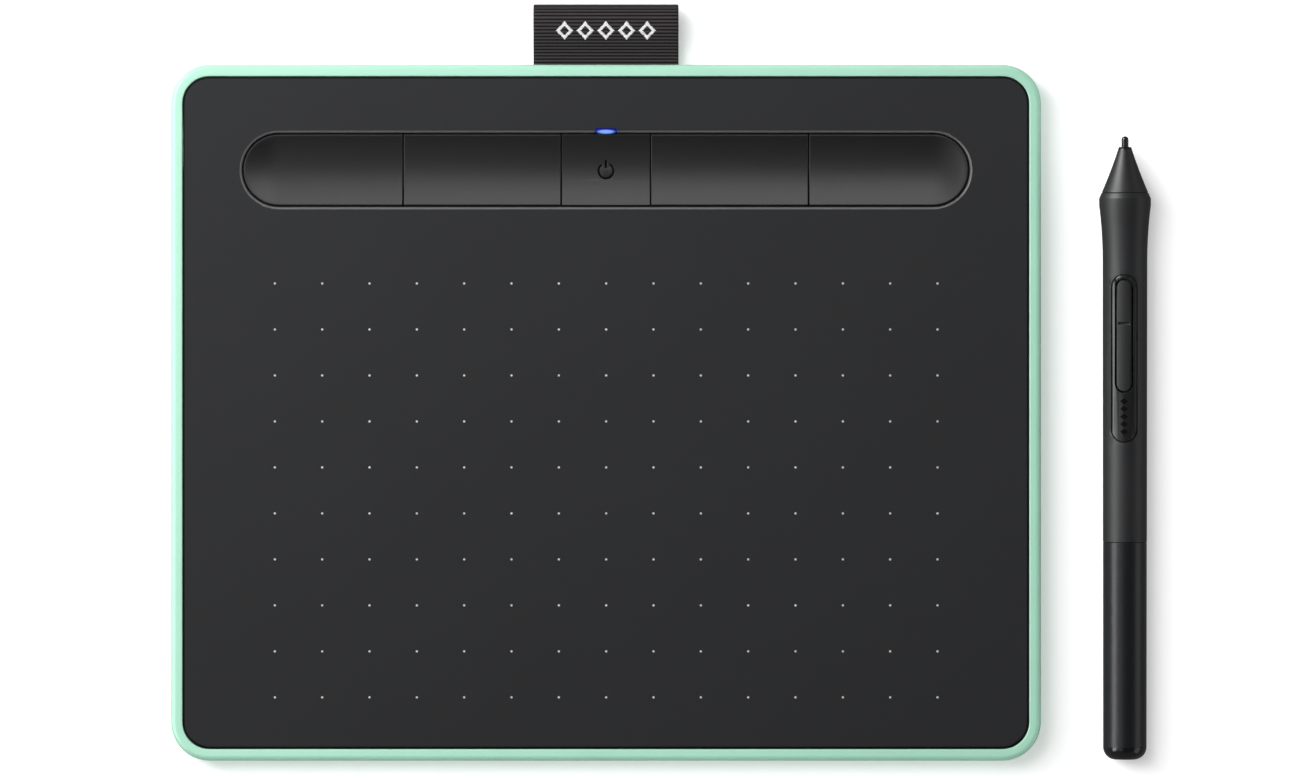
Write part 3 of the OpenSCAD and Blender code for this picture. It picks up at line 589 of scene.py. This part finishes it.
EDGE_DEFAULT = 0.05
KEY_EDGE = 0.16
EDGE_SEGMENTS = 2
EDGE_ANGLE = math.radians(32)
EDGE_WEIGHT = 60
WELD = 0.001 * MM
EDGES_MM = {
    "bottom_cover": 0.12,
    "top_cover": 0.08,
    "side_switch": 0.12,
    "switch_bezel": 0.16,
    "front_barrel": 0.04,
    "nose_cone": 0.04,
    "rear_barrel": 0.04,
    "nib": 0.03,
    "status_light_pipe": 0.03,
}
EDGES_MM.update((key, KEY_EDGE) for key in KEYS if key != "power_button")


def soften(node, width_mm):
    """Rounds a node's sharp edges by modifiers, which leave its own mesh as it is."""
    part = nodes[node]
    weld = part.modifiers.new("weld", "WELD")
    weld.merge_threshold = WELD
    bevel = part.modifiers.new("edges", "BEVEL")
    bevel.width = width_mm * MM
    bevel.segments = EDGE_SEGMENTS
    bevel.limit_method = "ANGLE"
    bevel.angle_limit = EDGE_ANGLE
    bevel.use_clamp_overlap = False
    normals = part.modifiers.new("normals", "WEIGHTED_NORMAL")
    normals.keep_sharp = False
    normals.weight = EDGE_WEIGHT


# ---- Mesh helpers ----


def piece(name, verts, faces, material, body, smooth=True):
    """A new mesh object that rides on a body."""
    mesh = bpy.data.meshes.new(name)
    mesh.from_pydata([tuple(v) for v in verts], [], faces)
    mesh.validate()
    bm = bmesh.new()
    bm.from_mesh(mesh)
    bmesh.ops.recalc_face_normals(bm, faces=bm.faces)
    bm.to_mesh(mesh)
    bm.free()
    for polygon in mesh.polygons:
        polygon.use_smooth = smooth
    mesh.materials.append(bpy.data.materials[material])
    made = bpy.data.objects.new(name, mesh)
    bpy.context.scene.collection.objects.link(made)
    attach(made, body)
    return made


def grid_faces(rows, columns, start=0, wrap_columns=False):
    """Quads between rows of vertices that follow each other from the index start."""
    faces = []
    last = columns if wrap_columns else columns - 1
    for i in range(rows - 1):
        for j in range(last):
            a = start + i * columns + j
            b = start + i * columns + (j + 1) % columns
            faces.append((a, b, b + columns, a + columns))
    return faces


def tube_faces(rings, sides, start=0):
    """The wall of a tube whose rings follow each other, and the caps of its two ends."""
    last = start + (rings - 1) * sides
    caps = [tuple(range(first, first + sides)) for first in (start, last)]
    return grid_faces(rings, sides, start, wrap_columns=True) + caps


# ---- Printed dots ----

DOT_COLUMNS = 15
DOT_ROWS = 10
DOT_PITCH = (10.876 * MM, 10.567 * MM)
DOT_FIRST = (-76.07 * MM, 29.71 * MM)
DOT_RADIUS = 0.26 * MM
DOT_SIDES = 16
INK_THICKNESS = 0.012 * MM
# Each ring's radius and height, as shares of the dot's
DOT_RINGS = ((1.0, -0.5), (0.97, 0.6), (0.8, 1.0))


def make_dots():
    """A grid of dots, each a thin round deposit of ink with a soft shoulder."""
    verts, faces = [], []
    for row in range(DOT_ROWS):
        for column in range(DOT_COLUMNS):
            x = CASE_MID.x + DOT_FIRST[0] + column * DOT_PITCH[0]
            y = CASE_MID.y + DOT_FIRST[1] - row * DOT_PITCH[1]
            start = len(verts)
            for radius, height in DOT_RINGS:
                for k in range(DOT_SIDES):
                    a = 2 * math.pi * k / DOT_SIDES
                    verts.append((
                        x + DOT_RADIUS * radius * math.cos(a),
                        y + DOT_RADIUS * radius * math.sin(a),
                        PANEL_TOP + INK_THICKNESS * height,
                    ))
            faces += tube_faces(len(DOT_RINGS), DOT_SIDES, start)
    moulded("dot_ink", (0.5, 0.5, 0.5), 0.5, 0.1, 0.004, 0.1)
    piece("printed_dots", verts, faces, "dot_ink", "tablet")


# ---- Power symbol: a dark fill in the groove that the button has for it, painted shade ----

# The groove's floor, below the button's highest edge
SYMBOL_DEPTH = 1.9 * MM
SYMBOL_SHIFT = -0.2 * MM
SYMBOL_RADIUS = 1.7 * MM
# The paint is narrower than the groove
SYMBOL_LINE = 0.46 * MM
SYMBOL_GAP = math.radians(32)
SYMBOL_STEPS = 48
SYMBOL_BAR = (0.68 * MM, 1.6 * MM, 2.54 * MM)
# The paint's lower and upper side, above the groove's floor
PAINT_LOW = -0.02 * MM
PAINT_HIGH = 0.12 * MM


def make_power_symbol():
    """A ring that is open to the rear, with a bar in the opening."""
    lo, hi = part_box("power_button")
    centre = Vector(((lo.x + hi.x) / 2, (lo.y + hi.y) / 2 + SYMBOL_SHIFT, hi.z - SYMBOL_DEPTH))
    half = SYMBOL_LINE / 2
    ring = []
    for k in range(SYMBOL_STEPS + 1):
        a = math.pi / 2 + SYMBOL_GAP + 2 * (math.pi - SYMBOL_GAP) * k / SYMBOL_STEPS
        out = Vector((math.cos(a), math.sin(a), 0))
        ring.append((out * (SYMBOL_RADIUS - half), out * (SYMBOL_RADIUS + half)))
    bar = [(Vector((-half, y, 0)), Vector((half, y, 0))) for y in SYMBOL_BAR]
    low, high = Vector((0, 0, PAINT_LOW)), Vector((0, 0, PAINT_HIGH))
    verts, faces = [], []
    for strip in (ring, bar):
        start = len(verts)
        for near, far in strip:
            for corner in (near + low, near + high, far + high, far + low):
                verts.append(centre + corner)
        faces += tube_faces(len(strip), 4, start)
    # The dark fill is painted shade, where shade falls in the engraved symbol
    piece("power_symbol_painted_shade", verts, faces, "mark_paint", "power_button", False)


# ---- Pen loop: a ribbed ribbon folded back on itself ----

PLY = 0.36 * MM
RIB_HEIGHT = 0.12 * MM
RIB_PITCH = 0.79 * MM
RIB_STEPS = 8
RIB_ROUNDNESS = 0.7
RIB_WAVER = 0.05
RIBBON_COLUMNS = 34
SELVEDGE = 0.3 * MM
SELVEDGE_STEPS = 4
FOLD_MID_Z = (LOOP_LO.z + LOOP_HI.z) / 2
FOLD_RADIUS = (LOOP_HI.z - LOOP_LO.z) / 2 - PLY / 2 - RIB_HEIGHT
# Inside the case the two plies lie one on the other, with a hair's breadth between them
PLY_OFFSET = PLY / 2 + RIB_HEIGHT + 0.02 * MM
MOUTH_GAP = 0.1 * MM
MOUTH_HANDLE = Vector((3.4 * MM, 0))
CREST_HANDLE = Vector((4.4 * MM, 0))
SLOT_STEPS, RISE_STEPS, NOSE_STEPS = 10, 40, 30


def bezier(p0, p1, p2, p3, steps):
    """Points along a cubic curve."""
    points = []
    for k in range(steps + 1):
        t = k / steps
        u = 1 - t
        points.append(u ** 3 * p0 + 3 * u * u * t * p1 + 3 * u * t * t * p2 + t ** 3 * p3)
    return points


def fold_path():
    """The ribbon's middle line in the (y, z) plane: out of the slot, round and back in below."""
    nose_y = LOOP_HI.y - PLY / 2 - RIB_HEIGHT - FOLD_RADIUS
    slot_z = FOLD_MID_Z + PLY_OFFSET
    inner = Vector((ANCHOR_LO.y, slot_z))
    mouth = Vector((CASE_HI.y + MOUTH_GAP, slot_z))
    crest = Vector((nose_y, FOLD_MID_Z + FOLD_RADIUS))
    half = [inner.lerp(mouth, k / SLOT_STEPS) for k in range(SLOT_STEPS)]
    half += bezier(mouth, mouth + MOUTH_HANDLE, crest - CREST_HANDLE, crest, RISE_STEPS)
    for k in range(1, NOSE_STEPS + 1):
        a = math.pi / 2 * (1 - k / NOSE_STEPS)
        y, z = FOLD_RADIUS * math.cos(a), FOLD_RADIUS * math.sin(a)
        half.append(Vector((nose_y + y, FOLD_MID_Z + z)))
    lower = [Vector((p.x, 2 * FOLD_MID_Z - p.y)) for p in reversed(half[:-1])]
    return half + lower


class Path:
    """A polyline, with its places and outward normals by their distance along it."""

    def __init__(self, points):
        self.points = points
        self.run = [0.0]
        for a, b in zip(points, points[1:]):
            self.run.append(self.run[-1] + (b - a).length)
        self.length = self.run[-1]

    def at(self, s):
        """The place and the outward normal at the distance s."""
        s = min(max(s, 0), self.length)
        k = max(i for i in range(len(self.run) - 1) if self.run[i] <= s + 1e-12)
        share = (s - self.run[k]) / (self.run[k + 1] - self.run[k])
        along = (self.points[k + 1] - self.points[k]).normalized()
        return self.points[k].lerp(self.points[k + 1], share), Vector((-along.y, along.x))


def cloth(name, verts, faces, rib_values):
    """A piece of the woven ribbon, with the height of the rib at every vertex."""
    made = piece(name, verts, faces, "woven_ribbon", "tablet")
    attribute = made.data.attributes.new("rib", "FLOAT", "POINT")
    attribute.data.foreach_set("value", rib_values)
    return made


def make_ribbon(path):
    """Two faces, each ribbed, joined along the selvedges and at both ends."""
    ribs = round(path.length / RIB_PITCH)
    steps = ribs * RIB_STEPS
    width = LOOP_HI.x - LOOP_LO.x
    mid_x = (LOOP_LO.x + LOOP_HI.x) / 2
    draw = random.Random(7)
    waver = [draw.uniform(-1, 1) for _ in range(ribs + 2)]
    # Columns crowd at both selvedges, which are rounded
    quarter = [math.pi / 2 * k / SELVEDGE_STEPS for k in range(SELVEDGE_STEPS + 1)]
    edge = [SELVEDGE * (1 - math.cos(a)) for a in quarter]
    step = (width - 2 * SELVEDGE) / RIBBON_COLUMNS
    inside = [SELVEDGE + step * k for k in range(1, RIBBON_COLUMNS)]
    across = edge + inside + [width - e for e in reversed(edge)]
    verts, rib_values = [], []
    for side in (1, -1):
        for i in range(steps + 1):
            s = path.length * i / steps
            centre, normal = path.at(s)
            rib = i // RIB_STEPS
            phase = i / RIB_STEPS + (0.5 if side < 0 else 0)
            swell = abs(math.sin(math.pi * phase)) ** RIB_ROUNDNESS
            for u in across:
                # The thickness falls off in a quarter circle at either selvedge
                short = max(0.0, 1 - min(u, width - u) / SELVEDGE)
                fullness = max(math.sqrt(max(0.0, 1 - short ** 2)), 0.08)
                wobble = RIB_WAVER * waver[rib] * math.sin(u / width * math.pi * 3 + rib)
                lift = side * (PLY / 2 + RIB_HEIGHT * swell * (1 + wobble)) * fullness
                point = centre + normal * lift
                verts.append(Vector((mid_x - width / 2 + u, point.x, point.y)))
                rib_values.append(swell)
    rows, columns = steps + 1, len(across)
    sheet = rows * columns
    faces = grid_faces(rows, columns)
    faces += [tuple(reversed(f)) for f in grid_faces(rows, columns, sheet)]
    for i in range(rows - 1):
        for j in (0, columns - 1):
            a, b = i * columns + j, (i + 1) * columns + j
            faces.append((a, b, sheet + b, sheet + a))
    for j in range(columns - 1):
        for i in (0, rows - 1):
            a, b = i * columns + j, i * columns + j + 1
            faces.append((a, b, sheet + b, sheet + a))
    ribbon = cloth("loop_ribbon", verts, faces, rib_values)
    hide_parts("pen_loop")
    return ribbon


# The bead's height as a share of the anchor's, and how square its section is: 1 is round
HEM_HEIGHT = 0.96
HEM_SQUARENESS = 0.6
HEM_SIDES = 28
HEM_STEPS = 90


def make_hem():
    """The ribbon's ends rolled and sewn into a bead behind the anchor."""
    height = (ANCHOR_HI.z - ANCHOR_LO.z) * HEM_HEIGHT
    depth = ANCHOR_LO.y - LOOP_LO.y
    mid_y = (ANCHOR_LO.y + LOOP_LO.y) / 2
    verts, values = [], []
    for i in range(HEM_STEPS + 1):
        x = LOOP_LO.x + (LOOP_HI.x - LOOP_LO.x) * i / HEM_STEPS
        # Every other ring is drawn in a little by its stitches, and both ends are rounded off
        size = 0.8 if i in (0, HEM_STEPS) else 1.0 - 0.03 * (i % 2)
        for k in range(HEM_SIDES):
            a = 2 * math.pi * k / HEM_SIDES
            c, s = math.cos(a), math.sin(a)
            y = depth / 2 * math.copysign(abs(c) ** HEM_SQUARENESS, c) * size
            z = height / 2 * math.copysign(abs(s) ** HEM_SQUARENESS, s) * size
            verts.append(Vector((x, mid_y + y, FOLD_MID_Z + z)))
            values.append(float(i % 2))
    return cloth("loop_hem", verts, tube_faces(HEM_STEPS + 1, HEM_SIDES), values)


# A row of outlined lozenges, woven in white: an ornament that says nothing
LOZENGES = 5
LOZENGE_PITCH = 4.75 * MM
LOZENGE_HALF = (2.05 * MM, 2.2 * MM)
LOZENGE_LINE = 0.8 * MM
LOZENGE_Y = 87.9 * MM
THREAD_PITCH = 0.28 * MM
THREAD_HALF_WIDTH = THREAD_PITCH * 0.52
THREAD_HEIGHT = 0.1 * MM
THREAD_SIDES = 8
THREAD_STEPS = 6
# The threads lie on the ribs, sunk in by a quarter of a rib
THREAD_BASE = PLY / 2 + RIB_HEIGHT * 0.75
PATH_SAMPLES = 2000


def lozenge_spans(v, half, line):
    """The stretches of x that a lozenge's outline covers at height v."""
    # The line's width, measured along x
    band = line * math.hypot(1, half[0] / half[1])
    outer = half[0] * (1 - abs(v) / half[1])
    inner = outer - band
    if outer <= 0:
        return []
    if inner <= 0:
        return [(-outer, outer)]
    return [(-outer, -inner), (inner, outer)]


def make_ornament(path):
    """White threads that float over the ribs and make up the lozenges row by row."""
    # The upper half of the path comes first, so only that half is searched
    middle_s = min(
        (k * path.length / PATH_SAMPLES for k in range(PATH_SAMPLES // 2)),
        key=lambda s: abs(path.at(s)[0].x - LOZENGE_Y),
    )
    rows = int(LOZENGE_HALF[1] / THREAD_PITCH)
    verts, faces = [], []
    for row in range(-rows, rows + 1):
        v = row * THREAD_PITCH
        centre, normal = path.at(middle_s + v)
        for n in range(LOZENGES):
            x = (n - (LOZENGES - 1) / 2) * LOZENGE_PITCH
            for x0, x1 in lozenge_spans(v, LOZENGE_HALF, LOZENGE_LINE):
                add_thread(verts, faces, centre, normal, x + x0, x + x1)
    return piece("loop_ornament", verts, faces, "white_thread", "tablet")


def add_thread(verts, faces, centre, normal, x0, x1):
    """One float of thread along X, with rounded ends that dive into the cloth."""
    along = Vector((normal.y, -normal.x))
    start = len(verts)
    for i in range(THREAD_STEPS + 1):
        share = i / THREAD_STEPS
        dive = math.sqrt(max(0.0, 1 - (2 * share - 1) ** 8))
        x = x0 + (x1 - x0) * share
        for k in range(THREAD_SIDES):
            a = 2 * math.pi * k / THREAD_SIDES
            lift = THREAD_BASE + THREAD_HEIGHT * (math.sin(a) * dive - 0.8 * (1 - dive))
            aside = THREAD_HALF_WIDTH * math.cos(a) * max(dive, 0.3)
            point = centre + normal * lift + along * aside
            verts.append(Vector((x, point.x, point.y)))
    faces += tube_faces(THREAD_STEPS + 1, THREAD_SIDES, start)


def make_loop():
    """The ribbon with its hem and ornament."""
    path = Path(fold_path())
    ribbon = make_ribbon(path)
    hem = make_hem()
    ornament = make_ornament(path)


# ---- Ornament on the pen's bezel ----

PEN_MARKS = 5
PEN_MARK_PITCH = 1.75 * MM
PEN_MARK_HALF = (0.9 * MM, 0.7 * MM)
PEN_MARK_RISE = 0.06 * MM
# Where the paint's middle lies, below the bezel's highest point
PEN_MARK_DROP = 0.12 * MM
PEN_MARK_SIDE_STEPS = 4
# Each ring's size and height, as shares of the mark's
PEN_MARK_RINGS = ((1.0, -1.0), (1.0, 0.4), (0.94, 0.8), (0.8, 1.0))


def make_pen_ornament():
    """A row of small matt black lozenges along the bezel, between the rocker and its end."""
    nib, end = middle("nib"), middle("barrel_end")
    bezel_lo, bezel_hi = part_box("switch_bezel")
    rocker_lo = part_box("side_switch")[0]
    mid_y = (bezel_lo.y + rocker_lo.y) / 2

    def axis_z(y):
        return nib.z + (end.z - nib.z) * (y - nib.y) / (end.y - nib.y)

    # The pen leans about its own axis as far as the rocker's hinge leans
    hinge = next(j for j in frame["joints"] if j["name"] == "side_switch_rock")["axis"]
    roll = math.atan2(hinge[2], hinge[0])
    radius = bezel_hi.z - axis_z((bezel_lo.y + bezel_hi.y) / 2) - PEN_MARK_DROP
    corners = [Vector(corner) for corner in ((1, 0), (0, 1), (-1, 0), (0, -1))]
    outline = [
        here.lerp(there, k / PEN_MARK_SIDE_STEPS)
        for here, there in zip(corners, corners[1:] + corners[:1])
        for k in range(PEN_MARK_SIDE_STEPS)
    ]
    verts, faces = [], []
    for n in range(PEN_MARKS):
        y0 = mid_y + (n - (PEN_MARKS - 1) / 2) * PEN_MARK_PITCH
        start = len(verts)
        for scale, rise in PEN_MARK_RINGS:
            r = radius + PEN_MARK_RISE * rise
            for point in outline:
                a = point.x * PEN_MARK_HALF[0] * scale / radius - roll
                y = y0 + point.y * PEN_MARK_HALF[1] * scale
                verts.append(Vector((nib.x + r * math.sin(a), y, axis_z(y) + r * math.cos(a))))
        faces += tube_faces(len(PEN_MARK_RINGS), len(outline), start)
    piece("bezel_ornament", verts, faces, "mark_paint", "pen", False)


# ---- Build ----

make_camera()
light_the_scene()
make_floor()
make_materials()
for node_name in nodes:
    soften(node_name, EDGES_MM.get(node_name, EDGE_DEFAULT))
make_dots()
make_power_symbol()
make_loop()
make_pen_ornament()

boxes = {"cad": cad_box, "visual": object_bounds()}
{k: [list(corner) for corner in b] for k, b in boxes.items()}
